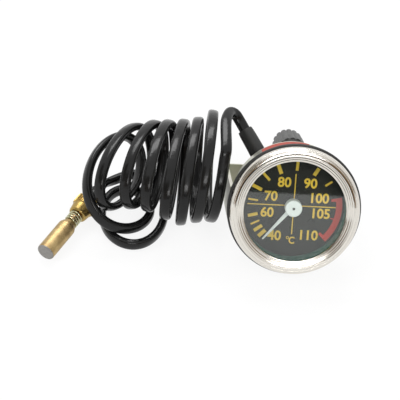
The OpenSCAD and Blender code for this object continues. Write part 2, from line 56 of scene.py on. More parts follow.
upward = forward.cross(Vector((1, 0, 0))).normalized()
middle = Vector(turn["pos_m"]) + forward * GEAR_DEPTH * MM
gauge = Matrix(
    (
        (MM, upward.x * MM, forward.x * MM, middle.x),
        (0, upward.y * MM, forward.y * MM, middle.y),
        (0, upward.z * MM, forward.z * MM, middle.z),
        (0, 0, 0, 1),
    )
)
foot = gauge @ Vector((0, -CASE_R, -CASE_DEPTH))


# The studio: a white sheet under the gauge, with large soft lamps round it. Cards in
# front of it give the chrome and the glass their dark and bright bands, and the
# background is plain white where the camera, metal or glass sees it.
class Wire:
    """A node's output, with the operators that a shader's arithmetic needs."""

    def __init__(self, tree, socket):
        self.tree, self.socket = tree, socket

    def _math(self, operation, *values):
        return node(self.tree, "ShaderNodeMath", dict(enumerate(values)), operation=operation)

    def __add__(self, other):
        return self._math("ADD", self, other)

    def __mul__(self, other):
        return self._math("MULTIPLY", self, other)

    __radd__, __rmul__ = __add__, __mul__

    def clamped(self):
        return self._math("MINIMUM", self._math("MAXIMUM", self, 0.0), 1.0)


def node(tree, kind, sockets=None, output=0, stops=(), **settings):
    """Adds a node: its settings and a ramp's stops first, then its sockets."""
    made = tree.nodes.new(kind)
    for name, value in settings.items():
        setattr(made, name, value)
    for i, (place, grey) in enumerate(stops):
        element = made.color_ramp.elements[i]
        element.position, element.color = place, (grey, grey, grey, 1)
    for name, value in (sockets or {}).items():
        if isinstance(value, Wire):
            tree.links.new(value.socket, made.inputs[name])
        else:
            made.inputs[name].default_value = value
    return Wire(tree, made.outputs[output] if made.outputs else None)


def seen_directly(tree):
    """1 where the camera, polished metal or glass looks at the background."""
    sights = [
        node(tree, "ShaderNodeLightPath", output=name)
        for name in ("Is Camera Ray", "Is Glossy Ray", "Is Transmission Ray")
    ]
    return (sights[0] + sights[1] + sights[2]).clamped()


ROOM_LIGHT = 0.55
world = bpy.data.worlds.new("studio")
bpy.context.scene.world = world
world.use_nodes = True
room = world.node_tree
room.nodes.clear()
strength = seen_directly(room) * (1 - ROOM_LIGHT) + ROOM_LIGHT
back_light = node(room, "ShaderNodeBackground", {"Color": (1, 1, 1, 1), "Strength": strength})
node(room, "ShaderNodeOutputWorld", {"Surface": back_light})

FLOOR_HALF, FLOOR_DROP = 3.0, 0.0002
PAPER_WHITE = 0.9
SHADOW_KEPT = 0.13
sheet = bpy.data.meshes.new("floor")
sheet.from_pydata(
    [
        (x * FLOOR_HALF, y * FLOOR_HALF, -FLOOR_DROP)
        for x, y in ((-1, -1), (1, -1), (1, 1), (-1, 1))
    ],
    [],
    [(0, 1, 2, 3)],
)
floor = bpy.data.objects.new("floor", sheet)
bpy.context.scene.collection.objects.link(floor)
paper = bpy.data.materials.new("white paper")
paper.use_nodes = True
tree = paper.node_tree
tree.nodes.clear()
matte = node(tree, "ShaderNodeBsdfDiffuse", {"Color": (PAPER_WHITE,) * 3 + (1,)})
plain = node(tree, "ShaderNodeEmission", {"Color": (1, 1, 1, 1), "Strength": 1.0})
veil = seen_directly(tree) * (1 - SHADOW_KEPT)
node(
    tree,
    "ShaderNodeOutputMaterial",
    {"Surface": node(tree, "ShaderNodeMixShader", {0: veil, 1: matte, 2: plain})},
)
floor.data.materials.append(paper)

LAMPS_AIM = Vector((-0.04, 0, 0.02))


def soft_lamp(name, place, size, power, mirrored=True):
    """A large lamp that points at the gauge, seen in the chrome only if it is mirrored."""
    light = bpy.data.lights.new(name, "AREA")
    light.shape = "RECTANGLE"
    light.size, light.size_y = size
    light.energy = power
    lamp = bpy.data.objects.new(name, light)
    lamp.visible_glossy = mirrored
    lamp.location = place
    lamp.rotation_mode = "QUATERNION"
    lamp.rotation_quaternion = (LAMPS_AIM - lamp.location).to_track_quat("-Z", "Y")
    bpy.context.scene.collection.objects.link(lamp)


soft_lamp("back_lamp", (-0.1, 0.55, 0.75), (0.7, 0.35), 5.0)
soft_lamp("side_lamp", (-0.75, -0.25, 0.45), (0.4, 0.5), 3.0, mirrored=False)
soft_lamp("front_lamp", (0.3, -0.7, 0.9), (0.5, 0.5), 5.0, mirrored=False)


def card(name, colour, *corners):
    """A card in front of the gauge or beside it, which only reflections show."""
    mesh = bpy.data.meshes.new(name)
    mesh.from_pydata(corners, [], [(3, 2, 1, 0)])
    made = bpy.data.objects.new(name, mesh)
    bpy.context.scene.collection.objects.link(made)
    shade = bpy.data.materials.new(name)
    shade.use_nodes = True
    shade.node_tree.nodes.clear()
    glow = node(shade.node_tree, "ShaderNodeEmission", {"Color": (*colour, 1), "Strength": 1.0})
    node(shade.node_tree, "ShaderNodeOutputMaterial", {"Surface": glow})
    mesh.materials.append(shade)
    made.visible_camera = made.visible_diffuse = made.visible_shadow = False


def upright(x0, x1, z0, z1, away):
    """The corners of an upright card in front of the gauge."""
    return (x0, -away, z0), (x1, -away, z0), (x1, -away, z1), (x0, -away, z1)


card("soft_box", (7.5, 7.5, 7.5), *upright(-0.12, 0.22, 0.46, 0.68, 0.64))
card("white_card", (1.1, 1.1, 1.1), *upright(-0.05, 0.24, 0.68, 1.15, 0.64))
card("black_card", (0.012, 0.011, 0.010), *upright(-0.19, 0.24, 0.2445, 0.31, 0.66))
card("dark_card", (0.012, 0.011, 0.010), *upright(-0.19, 0.08, 0.31, 0.44, 0.66))
card("brown_card", (0.22, 0.145, 0.085), *upright(-0.62, 0.62, 0.26, 0.66, 0.70))
card("olive_card", (0.16, 0.14, 0.105), *upright(-1.3, -0.1, 0.66, 1.7, 0.72))
card("umber_card", (0.25, 0.20, 0.145), *upright(0.65, 1.9, 0.45, 1.60, 0.72))
SIDE_CARD = (-1.31, -0.72, 0.5), (-1.31, -0.72, 1.7), (-1.0, 0.25, 1.5), (-1.0, 0.25, 0.75)
card("side_card", (0.14, 0.12, 0.09), *SIDE_CARD)


# The camera has a long lens. It looks down on the gauge at 46 degrees, from 4 degrees to
# the left of its middle, and is rolled by 5.6 degrees, as the photograph is.
CAMERA_LENS, SENSOR_WIDTH = 126.0, 36.0
CAMERA_AWAY = 0.5973
AZIMUTH, ELEVATION, ROLL = (math.radians(a) for a in (-3.95, 45.93, 5.59))
aimed_at = Vector((-0.0404, foot.y, 0.0328))
back = Vector(
    (
        math.sin(AZIMUTH) * math.cos(ELEVATION),
        -math.cos(AZIMUTH) * math.cos(ELEVATION),
        math.sin(ELEVATION),
    )
)
level = Vector((math.cos(AZIMUTH), math.sin(AZIMUTH), 0))
right = math.cos(ROLL) * level + math.sin(ROLL) * back.cross(level)
lens = bpy.data.cameras.new("camera")
lens.lens, lens.sensor_width = CAMERA_LENS, SENSOR_WIDTH
camera = bpy.data.objects.new("camera", lens)
bpy.context.scene.collection.objects.link(camera)
camera.matrix_world = (
    Matrix.Translation(aimed_at + back * CAMERA_AWAY)
    @ Matrix((right, back.cross(right), back)).transposed().to_4x4()
)
bpy.context.scene.camera = camera
bpy.context.scene.view_settings.view_transform = "Standard"


# The sheathed capillary: a thin copper tube in a flattened black PVC sleeve, wound by
# hand in a loose hank. It leaves the rubber boot behind the case, runs round the hank's
# loops and ends in the sleeve at the bulb's neck.
SHEATH_W, SHEATH_T = 4.8, 3.6
SHEATH_D = 4.4  # the CAD solid's, which is round
IN_BOOT, IN_SLEEVE = 4, 3  # how far it reaches into the rubber boot and the end sleeve

# The boot's bend and its outer end, in the gauge's frame
BOOT_FROM, BOOT_TO = Vector((-5, 3, -24)), Vector((-20.5, 26.3, -34.7))

# Each loop's middle x and y, half depth, lowest point, height, slant and skew
LOOPS = np.array([
    [-29.2, 31, 25, 2.6, 40, -1, 0.2],
    [-35.5, 30.5, 26, 2.6, 42, -0.4, 0.8],
    [-42, 29.6, 25, 2.6, 38, 0.4, 1.6],
    [-48.6, 29, 26.5, 2.6, 35, 1.2, 2.4],
    [-55.4, 29, 24, 8.4, 29, 3, 3.4],
    [-62.6, 30, 21.8, 8.4, 29, 3.6, 5.4],
    [-70, 29.4, 20.6, 8.6, 28, 6, 6.2],
    [-79.4, 27, 20, 8.6, 24, 9, 9.6],
    [-71, 16.4, 16.5, 2.6, 1.5, 11.5, 0],
    [-67.6, 20, 22, 2.6, 3, 14, 0],
    [-67.6, 20, 22, 2.6, 3, 14, 0],
])
HANK_START, HANK_END = 0.36, 9.07
LAST_FULL_TURN = 9
RINGS = 24  # straights in a turn of the CAD solid
FINE = 3  # parts that each of them has here
LEAD = [[-25, 46.9, 40.2], [-27.4, 46, 42.2], [-29, 42, 43.6], [-29.8, 35.6, 44.2]]

# The bulb lies on its gland nut and on its tip
BULB_R, NUT_R = 4.05, 5.4
NUT_FRONT, NUT_LEN, KNURL_LEN = 25.5, 9.5, 4.6
SLEEVE_LEN, LOOSE = 8.0, 0.3
BULB_HEADING = math.radians(60.8)
BULB_SLOPE = math.asin((NUT_R - BULB_R) / (NUT_FRONT + NUT_LEN - KNURL_LEN))
bulb_way = Vector(
    (
        math.cos(BULB_SLOPE) * math.cos(BULB_HEADING),
        math.cos(BULB_SLOPE) * math.sin(BULB_HEADING),
        math.sin(BULB_SLOPE),
    )
)
foot_mm = np.array([0, foot.y / MM, 0])
bulb_tip_at = Vector((-106, -8.7 + foot.y / MM, BULB_R))
bulb = (
    Matrix.Translation(bulb_tip_at * MM)
    @ bulb_way.to_track_quat("Z", "Y").to_matrix().to_4x4()
    @ Matrix.Scale(MM, 4)
)


def hank_point(turns):
    """The place on the hank's route after so many turns, with each loop led into the next."""
    whole = int(turns)
    ease = (1 - math.cos(math.pi * (turns - whole))) / 2
    x, y, half, low, height, slant, skew = LOOPS[whole] * (1 - ease) + LOOPS[whole + 1] * ease
    a = 2 * math.pi * turns
    return np.array(
        [
            x - slant * math.sin(a) + skew * math.cos(a),
            y + half * math.cos(a) + foot_mm[1],
            low + height / 2 * (1 + math.sin(a)),
        ]
    )


def hank_middle(turns):
    """The middle of the loop: halfway to the place on its other side."""
    half_turn = 0.5 if turns < LAST_FULL_TURN else -0.5
    return (hank_point(turns) + hank_point(turns + half_turn)) / 2


def hank_way(turns, reach=0.002):
    """The hank's direction at a place."""
    step = hank_point(turns + reach) - hank_point(turns - reach)
    return step / np.linalg.norm(step)


def eased_line(points, parts=5):
    """A smooth curve through given points, which it passes at an even pace."""
    points = [np.array(p, float) for p in points]
    ends = [2 * points[0] - points[1], *points, 2 * points[-1] - points[-2]]
    line = []
    for a, b, c, d in zip(ends, ends[1:], ends[2:], ends[3:]):
        for k in range(parts):
            t = k / parts
            line.append(
                0.5 * (2 * b + (c - a) * t + (2 * a - 5 * b + 4 * c - d) * t * t
                       + (3 * b - a - 3 * c + d) * t ** 3)
            )
    return [*line, points[-1]]


SHARP_EDGE = math.radians(35)
UV_MM = 10  # one unit of the sheath's own map


def shape_of(name, build):
    """A mesh object from a bmesh, with its faces outwards and soft shading up to an edge."""
    mesh = bpy.data.meshes.new(name)
    bmesh.ops.recalc_face_normals(build, faces=build.faces)
    build.to_mesh(mesh)
    build.free()
    mesh.shade_smooth()
    mesh.set_sharp_from_angle(angle=SHARP_EDGE)
    made = bpy.data.objects.new(name, mesh)
    bpy.context.scene.collection.objects.link(made)
    return made


def tube(name, line, outs, section):
    """A closed tube along a line: section gives the (across, out) corners at a place."""
    build = bmesh.new()
    along = build.loops.layers.uv.new("along")
    rings, reach = [], [0.0]
    for i, point in enumerate(line):
        way = line[min(i + 1, len(line) - 1)] - line[max(i - 1, 0)]
        way = way / np.linalg.norm(way)
        out = outs[i] - (outs[i] @ way) * way
        out = out / np.linalg.norm(out)
        across = np.cross(way, out)
        if i:
            reach.append(reach[-1] + np.linalg.norm(point - line[i - 1]))
        corners = [point + a * across + o * out for a, o in section(i, reach[-1])]
        rings.append([build.verts.new(corner * MM) for corner in corners])
    count = len(rings[0])
    for i in range(len(rings) - 1):
        for k in range(count):
            n = (k + 1) % count
            face = build.faces.new((rings[i][k], rings[i + 1][k], rings[i + 1][n], rings[i][n]))
            grid = ((i, k), (i + 1, k), (i + 1, k + 1), (i, k + 1))
            for loop, (u, v) in zip(face.loops, grid):
                loop[along].uv = (reach[u] / UV_MM, v / count)
    for ring in (rings[0], rings[-1]):
        build.faces.new(ring)
    return shape_of(name, build)


boot_out = np.array(gauge @ BOOT_TO) / MM
boot_in = np.array(gauge @ BOOT_FROM) / MM
boot_dir = (boot_out - boot_in) / np.linalg.norm(boot_out - boot_in)
steps = int((HANK_END - HANK_START) * RINGS)
hank_last = HANK_START + steps / RINGS
hank_in = hank_point(HANK_START) - SHEATH_D * hank_way(HANK_START)
hank_out = hank_point(hank_last) + SHEATH_D * hank_way(hank_last)
sleeve_end = np.array(bulb_tip_at + (NUT_FRONT + NUT_LEN + LOOSE + SLEEVE_LEN) * bulb_way)
lead_line = eased_line(
    [boot_out - IN_BOOT * boot_dir, boot_out, boot_out + SHEATH_D * boot_dir]
    + [p + foot_mm for p in LEAD]
    + [hank_in - SHEATH_D * hank_way(HANK_START), hank_in]
)
places = [HANK_START + i / RINGS / FINE for i in range(steps * FINE + 1)]
hank_line = [hank_point(turns) for turns in places]
hank_outs = [point - hank_middle(turns) for point, turns in zip(hank_line, places)]
tail_line = eased_line(
    [
        hank_out,
        hank_out + SHEATH_D * hank_way(hank_last),
        sleeve_end + SHEATH_D * np.array(bulb_way),
        sleeve_end,
        sleeve_end - IN_SLEEVE * np.array(bulb_way),
    ]
)


def turned_over(start, stop, count):
    """The flat side's direction, led evenly from one end of a free stretch to the other."""
    return [start * (1 - t) + stop * t for t in np.linspace(0, 1, count)]


sky = np.array([0, 0, 1.0])
route = lead_line + hank_line + tail_line
facing = (
    turned_over(sky, hank_outs[0] / np.linalg.norm(hank_outs[0]), len(lead_line))
    + hank_outs
    + turned_over(hank_outs[-1] / np.linalg.norm(hank_outs[-1]), sky, len(tail_line))
)
SECTION_SIDES = 20
SQUARENESS = 0.66  # 1 for an ellipse, less for flatter sides


def wave(reach, size, length, start=0):
    """A slow rise and fall along the sheath, a radian for each length in millimetres."""
    return size * math.sin(reach / length + start)


def sheath_section(_ring, reach):
    """A flattened round with nearly flat sides, which never lies quite level."""
    tilt = math.radians(wave(reach, 6, 17) + wave(reach, 4, 7.3, 1))
    wide = SHEATH_W / 2 * (1 + wave(reach, 0.01, 11, 2))
    thick = SHEATH_T / 2 * (1 + wave(reach, 0.04, 13))
    corners = []
    for k in range(SECTION_SIDES):
        a = 2 * math.pi * k / SECTION_SIDES
        across = wide * math.copysign(abs(math.cos(a)) ** SQUARENESS, math.cos(a))
        out = thick * math.copysign(abs(math.sin(a)) ** SQUARENESS, math.sin(a))
        corners.append(
            (
                across * math.cos(tilt) - out * math.sin(tilt),
                across * math.sin(tilt) + out * math.cos(tilt),
            )
        )
    return corners


cable = tube("capillary_sheath", route, facing, sheath_section)


def material(name, colour, roughness, metallic=0.0, **others):
    """A Principled material, its output and its tree."""
    made = bpy.data.materials.new(name)
    made.use_nodes = True
    shader = made.node_tree.nodes["Principled BSDF"]
    inputs = {"Base Color": (*colour, 1), "Roughness": roughness, "Metallic": metallic, **others}
    for socket, value in inputs.items():
        shader.inputs[socket].default_value = value
    return made, made.node_tree, shader


def feed(tree, shader, **sources):
    """Links what varies to the shader's sockets, whose names are given with underscores."""
    for socket, wire in sources.items():
        tree.links.new(wire.socket, shader.inputs[socket.replace("_", " ")])


def where(tree, centre=None):
    """Object coordinates in millimetres, in a frame of their own if centre is a matrix."""
    spot = node(tree, "ShaderNodeTexCoord", output="Object")
    if centre is None:
        return node(tree, "ShaderNodeVectorMath", {0: spot, 1: (1 / MM,) * 3},
                    operation="MULTIPLY")
    back_in = centre.inverted()
    turned = back_in.to_3x3().normalized().to_euler()
    scale = (back_in.to_3x3().to_scale()[0],) * 3
    return node(
        tree,
        "ShaderNodeMapping",
        {"Vector": spot, "Location": back_in.translation, "Rotation": turned, "Scale": scale},
        vector_type="POINT",
    )


def mixed(tree, factor, first, second):
    """A colour between two others."""
    colours = {0: factor, 6: (*first, 1), 7: (*second, 1)}
    return node(tree, "ShaderNodeMix", colours, output=2, data_type="RGBA")


def noise(tree, spot, scale, detail, roughness=0.55):
    return node(
        tree,
        "ShaderNodeTexNoise",
        {"Vector": spot, "Scale": scale, "Detail": detail, "Roughness": roughness},
    )


def bump(tree, height, distance, strength):
    return node(
        tree,
        "ShaderNodeBump",
        {"Height": height, "Distance": distance, "Strength": strength},
    )


PATCH_EDGES = (0.35, 0.0), (0.65, 1.0)


def finish(name, tones, gloss, grain=None, centre=None, patchy=False, metallic=0.0, **others):
    """A material whose colour, roughness and surface each vary by a noise of their own.

    tones, gloss and grain open with the noise's scale, detail and any roughness. Then come
    two colours, the least roughness and its range, or the grain's depth and strength. The
    first colour and the least roughness are also the plain values behind the links.
    """
    made, tree, shader = material(name, tones[1], gloss[1], metallic, **others)
    spot = where(tree, centre)
    mask = noise(tree, spot, *tones[0])
    if patchy:
        mask = node(tree, "ShaderNodeValToRGB", {"Fac": mask}, stops=PATCH_EDGES)
    feed(
        tree,
        shader,
        Base_Color=mixed(tree, mask, *tones[1:]),
        Roughness=noise(tree, spot, *gloss[0]) * gloss[2] + gloss[1],
    )
    if grain:
        feed(tree, shader, Normal=bump(tree, noise(tree, spot, *grain[0]), *grain[1:]))
    return made


pvc = finish(
    "glossy black PVC",
    tones=((0.12, 4), (0.002, 0.002, 0.002), (0.010, 0.010, 0.010)),
    gloss=((0.2, 3), 0.12, 0.16),
    grain=((0.3, 2), 0.0003, 0.4),
    **{"Specular IOR Level": 0.3},
)


def dress(thing, body, slot, paint, *nodes):
    """Puts a finished piece on its body, in place of the CAD nodes that it stands for."""
    thing.data.materials.clear()
    thing.data.materials.append(paint)
    if nodes:
        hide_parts(*nodes)
    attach(thing, body)
    return thing


dress(cable, "case", "sheath", pvc, "sheath_lead", "sheath_hank", "sheath_tail")


# Zinc-plated steel with a pale yellow-green passivated film. It covers the drawn case,
# whose front edge is flanged for the bezel, and the bent strip that holds the gauge in
# its panel.
ROUNDING_STEPS = 4
EDGE_PART = 2.01  # an easing takes a little less than half of the edge beside it
ON_AXIS = 1e-6


def rounded(outline):
    """An outline whose corners, given as (radius, height, rounding), are eased."""
    points = []
    count = len(outline)
    for i, (r, z, ease) in enumerate(outline):
        here = Vector((r, z))
        if not ease:
            points.append(here)
            continue
        before = Vector(outline[i - 1][:2]) - here
        after = Vector(outline[(i + 1) % count][:2]) - here
        a = here + before.normalized() * min(ease, before.length / EDGE_PART)
        b = here + after.normalized() * min(ease, after.length / EDGE_PART)
        for k in range(ROUNDING_STEPS + 1):
            t = k / ROUNDING_STEPS
            points.append(a * (1 - t) ** 2 + here * 2 * t * (1 - t) + b * t * t)
    return points


def lathe(name, outline, place, sides=144):
    """Turns a closed outline, as rounded reads it, about the local z axis."""
    build = bmesh.new()
    angles = [2 * math.pi * k / sides for k in range(sides)]
    rings = []
    for r, z in rounded(outline):
        if r < ON_AXIS:
            rings.append([build.verts.new((0, 0, z))])
        else:
            rings.append([build.verts.new((r * math.cos(a), r * math.sin(a), z)) for a in angles])
    for lower, upper in zip(rings, rings[1:] + rings[:1]):
        if len(lower) == len(upper) == 1:
            continue
        for k in range(sides):
            n = (k + 1) % sides
            corners = [lower[k % len(lower)], lower[n % len(lower)],
                       upper[n % len(upper)], upper[k % len(upper)]]
            build.faces.new(dict.fromkeys(corners))
    build.transform(place)
    return shape_of(name, build)


zinc = finish(
    "passivated zinc",
    tones=((0.09, 4), (0.62, 0.63, 0.50), (0.72, 0.70, 0.62)),
    gloss=((0.4, 3), 0.24, 0.2),
    grain=((1.5, 3), 0.00004, 0.4),
    centre=gauge,
    patchy=True,
    metallic=0.85,
)
case = lathe(
    "case_body",
    [
        (0, -17.5, 0), (8, -17.5, 0.4), (8.6, -17.9, 0.4), (10, -17.9, 0.4), (10.6, -17.5, 0.4),
        (26, -17.5, 0.6), (26, 2.0, 0.3), (27, 2.0, 0.2), (27, 2.6, 0.2), (25.2, 2.6, 0.3),
        (25.2, -16.5, 1.2), (0, -16.5, 0),
    ],
    gauge,
)
dress(case, "case", "zinc", zinc, "case_can")


# The chrome bezel is rolled over the case's flange. It has a round outer band, a crease,
# and a band that slopes in to a thin lip over the glass, each with fine turned lines.
chrome, tree, shader = material("polished chrome", (0.76, 0.73, 0.67), 0.07, 1.0)
spot = where(tree, gauge)
feed(
    tree,
    shader,
    Roughness=noise(tree, spot, 0.25, 4) * 0.12 + 0.03,
    Normal=bump(tree, noise(tree, spot, 0.35, 2), 0.00005, 0.25),
)
bezel = lathe(
    "bezel_ring",
    [
        (26.2, 1.5, 0.1), (27.4, 1.5, 0.4), (27.95, 2.1, 0.5), (28.0, 3.0, 0.5), (27.85, 4.0, 0.5),
        (27.6, 4.75, 0.2), (27.48, 4.76, 0.05), (27.36, 5.02, 0.15), (26.95, 5.36, 0.2),
        (26.85, 5.34, 0.05), (26.75, 5.5, 0.1), (26.3, 5.68, 0.2), (26.2, 5.64, 0.05),
        (26.1, 5.74, 0.1), (25.6, 5.85, 0.2), (25.0, 5.87, 0.1),
        (24.75, 5.6, 0.1), (24.45, 5.7, 0.1), (24.1, 5.62, 0.1), (24.0, 5.5, 0.04),
        (23.6, 5.52, 0.1), (23.15, 5.4, 0.1), (23.05, 5.26, 0.04), (22.7, 5.28, 0.1),
        (22.35, 5.16, 0.1), (22.25, 4.96, 0.04), (21.95, 4.92, 0.1), (21.9, 4.4, 0.1),
        (22.1, 4.3, 0.1), (24.0, 4.3, 0), (25.4, 5.0, 0.5), (27.3, 3.4, 0.5), (27.3, 2.0, 0),
        (26.2, 2.0, 0),
    ],
    gauge,
    sides=220,
)
dress(bezel, "case", "chrome", chrome, "bezel")


# The panel gasket is a flat ring of black rubber. It lies loose behind the bezel, which
# presses it on the front of the panel when the bracket is drawn up.
rubber = finish(
    "black rubber",
    tones=((0.3, 4), (0.008, 0.008, 0.008), (0.022, 0.022, 0.02)),
    gloss=((0.6, 3), 0.35, 0.3),
    grain=((3.0, 4), 0.00003, 0.5),
)
gasket = lathe(
    "panel_gasket_ring",
    [(26.25, 0, 0.1), (28.6, 0, 0.3), (28.8, 0.5, 0.3), (28.8, 1.0, 0.3), (28.4, 1.5, 0.3),
     (26.25, 1.5, 0.1)],
    gauge,
)
dress(gasket, "case", "rubber", rubber, "panel_gasket")


# The glass is a flat clear disc with ground edges, which the bezel presses on its seal.
# Light for the dial's shadows passes straight through it.
glass_paint, tree, shader = material(
    "window glass", (0.93, 0.97, 0.95), 0.02, **{"Transmission Weight": 1.0, "IOR": 1.58})
see_through = node(tree, "ShaderNodeBsdfTransparent", {"Color": (0.93, 0.96, 0.95, 1)})
shadow_ray = node(tree, "ShaderNodeLightPath", output="Is Shadow Ray")
diffuse_ray = node(tree, "ShaderNodeLightPath", output="Is Diffuse Ray")
surface = node(
    tree,
    "ShaderNodeMixShader",
    {
        0: (shadow_ray + diffuse_ray).clamped(),
        1: Wire(tree, shader.outputs["BSDF"]),
        2: see_through,
    },
)
tree.links.new(surface.socket, tree.nodes["Material Output"].inputs["Surface"])
GLASS_R, GLASS_BACK, GLASS_FRONT = 26.6, 3.0, 4.3
glass = lathe(
    "glass_disc",
    [(0, GLASS_BACK, 0), (GLASS_R, GLASS_BACK, 0), (GLASS_R, GLASS_FRONT, 0), (0, GLASS_FRONT, 0)],
    gauge,
)
dress(glass, "case", "glass", glass_paint, "glass")


# The dial is a thin steel plate in matt black enamel, held by two black screws. Its ticks,
# figures and cross lines are printed in pale yellow, and a red arc covers its hot end.
# A Geometry Nodes tree sets out the ticks, as it does the lobes and teeth further on.
DIAL_Z = -5.5
INK = 0.03


def new_tree(name, **inputs):
    """An empty tree with named inputs, and the node that gives them."""
    made = bpy.data.node_groups.new(name, "GeometryNodeTree")
    for socket, kind in inputs.items():
        made.interface.new_socket(name=socket, in_out="INPUT", socket_type="NodeSocket" + kind)
    made.interface.new_socket(name="Geometry", in_out="OUTPUT", socket_type="NodeSocketGeometry")
    return made, made.nodes.new("NodeGroupInput")


def close_tree(tree, shape, source):
    """Ends a tree in one painted mesh."""
    solid = node(tree, "GeometryNodeRealizeInstances", {"Geometry": shape})
    painted = node(
        tree,
        "GeometryNodeSetMaterial",
        {"Geometry": solid, "Material": Wire(tree, source.outputs["Paint"])},
    )
    node(tree, "NodeGroupOutput", {"Geometry": painted})


# One tree puts a small shape at each point of a mesh, turned and sized by its attributes
set_out, source = new_tree("set out", Geometry="Geometry", Shape="Object", Paint="Material")
shape = node(
    set_out,
    "GeometryNodeObjectInfo",
    {"Object": Wire(set_out, source.outputs["Shape"])},
    output="Geometry",
)
turn_value, size_value = (
    node(set_out, "GeometryNodeInputNamedAttribute", {"Name": name}, data_type=kind)
    for name, kind in (("turn", "FLOAT"), ("size", "FLOAT_VECTOR"))
)
close_tree(
    set_out,
    node(
        set_out,
        "GeometryNodeInstanceOnPoints",
        {
            "Points": Wire(set_out, source.outputs["Geometry"]),
            "Instance": shape,
            "Rotation": node(set_out, "ShaderNodeCombineXYZ", {"Z": turn_value}),
            "Scale": size_value,
        },
        output="Instances",
    ),
    source,
)


def grown(name, tree, source_mesh, place, **values):
    """The plain mesh that a tree makes from a mesh of points, put in its place.

    The shape that the tree sets out is used up.
    """
    carrier = bpy.data.objects.new(name + "_points", source_mesh)
    bpy.context.scene.collection.objects.link(carrier)
    modifier = carrier.modifiers.new("grow", "NODES")
    modifier.node_group = tree
    for item in tree.interface.items_tree:
        if item.in_out == "INPUT" and item.name in values:
            modifier[item.identifier] = values[item.name]
    ready = carrier.evaluated_get(bpy.context.evaluated_depsgraph_get())
    build = bmesh.new()
    build.from_mesh(bpy.data.meshes.new_from_object(ready))
    bpy.data.objects.remove(carrier)
    if "Shape" in values:
        bpy.data.objects.remove(values["Shape"])
    build.transform(place)
    return shape_of(name, build)


def points_with(name, rows):
    """A mesh of points from rows of (x, y, z, turn, (size x, y, z))."""
    mesh = bpy.data.meshes.new(name)
    mesh.from_pydata([row[:3] for row in rows], [], [])
    turn_values = mesh.attributes.new("turn", "FLOAT", "POINT")
    size_values = mesh.attributes.new("size", "FLOAT_VECTOR", "POINT")
    for i, row in enumerate(rows):
        turn_values.data[i].value = row[3]
        size_values.data[i].vector = row[4]
    return mesh


def prism(name, corners, z0, z1, ease=0.0):
    """A flat shape between two heights, with its edges eased."""
    build = bmesh.new()
    base = build.faces.new([build.verts.new((x, y, z0)) for x, y in corners])
    top = bmesh.ops.extrude_face_region(build, geom=[base])
    bmesh.ops.translate(
        build,
        verts=[v for v in top["geom"] if isinstance(v, bmesh.types.BMVert)],
        vec=(0, 0, z1 - z0),
    )
    if ease:
        bmesh.ops.bevel(build, geom=build.edges[:], offset=ease, segments=2, affect="EDGES")
    return shape_of(name, build)


def joined(name, *things):
    """One piece made of several."""
    build = bmesh.new()
    for thing in things:
        build.from_mesh(thing.data)
        bpy.data.objects.remove(thing)
    return shape_of(name, build)


enamel = finish(
    "black dial enamel",
    tones=((0.4, 5), (0.020, 0.019, 0.017), (0.036, 0.034, 0.031)),
    gloss=((0.8, 4), 0.45, 0.25),
    grain=((6.0, 3), 0.00002, 0.4),
    centre=gauge,
    **{"Specular IOR Level": 0.12},
)


def ink(name, light, dark):
    """A dial print of slightly uneven thickness."""
    return finish(name, tones=((1.2, 4), light, dark), gloss=((2.0, 3), 0.4, 0.2), centre=gauge)


yellow_ink = ink("yellow dial print", (0.86, 0.56, 0.04), (0.76, 0.48, 0.03))
red_ink = ink("red dial print", (0.62, 0.055, 0.035), (0.50, 0.035, 0.02))

TICKS = [  # degrees, inner radius, outer radius, width
    (87.5, 15.8, 20.6, 1.2), (112.7, 15.2, 20, 1.6), (134.3, 15.3, 20, 1.1),
    (154.5, 15.3, 19.9, 1.5), (173, 15.3, 19.6, 0.8), (195, 15.5, 19.8, 1.4),
    (206.7, 15.7, 19.8, 0.8), (216, 15.7, 19.9, 1.5), (225.3, 15.8, 19.9, 1.7),
    (59.6, 16.2, 20, 1.6), (35.6, 16.5, 20, 0.9),
]
CROSS_WIDTH = 0.45
CROSS_LINES = [  # x and y of its start, direction, length
    (0.4, -12.6, math.pi / 2, 26.9), (-19.6, 0.2, 0, 38.2),
]
stroke = prism("stroke", [(0, -0.5), (1, -0.5), (1, 0.5), (0, 0.5)], 0, INK)
rows = []
for degrees, inner, outer, wide in TICKS:
    a = math.radians(degrees)
    x, y = inner * math.cos(a), inner * math.sin(a)
    rows.append((x, y, DIAL_Z, a, (outer - inner, wide, 1)))
for x, y, a, long in CROSS_LINES:
    rows.append((x, y, DIAL_Z, a, (long, CROSS_WIDTH, 1)))
tick_points = points_with("tick points", rows)
ticks = grown("dial_ticks", set_out, tick_points, gauge, Shape=stroke, Paint=yellow_ink)
dress(ticks, "case", "dial_black", yellow_ink)


def arc_band(name, parts, paint):
    """Flat print bounded by arcs, from rows of (inner, outer, from, to) in mm and degrees."""
    build = bmesh.new()
    for inner, outer, start, stop in parts:
        count = max(2, int(abs(stop - start)))  # a step for each degree
        pairs = []
        for i in range(count + 1):
            a = math.radians(start + (stop - start) * i / count)
            flat = [(r * math.cos(a), r * math.sin(a)) for r in (inner, outer)]
            pairs.append(
                [[build.verts.new((x, y, DIAL_Z + h)) for h in (0, INK)] for x, y in flat]
            )
        for (a0, a1), (b0, b1) in zip(pairs, pairs[1:]):
            build.faces.new((a0[1], a1[1], b1[1], b0[1]))
            build.faces.new((a0[0], b0[0], b1[0], a1[0]))
            build.faces.new((a0[0], a0[1], b0[1], b0[0]))
            build.faces.new((a1[0], b1[0], b1[1], a1[1]))
        for low, high in (pairs[0], pairs[-1]):
            build.faces.new((low[0], low[1], high[1], high[0]))
    build.transform(gauge)
    dress(shape_of(name, build), "case", "dial_black", paint)


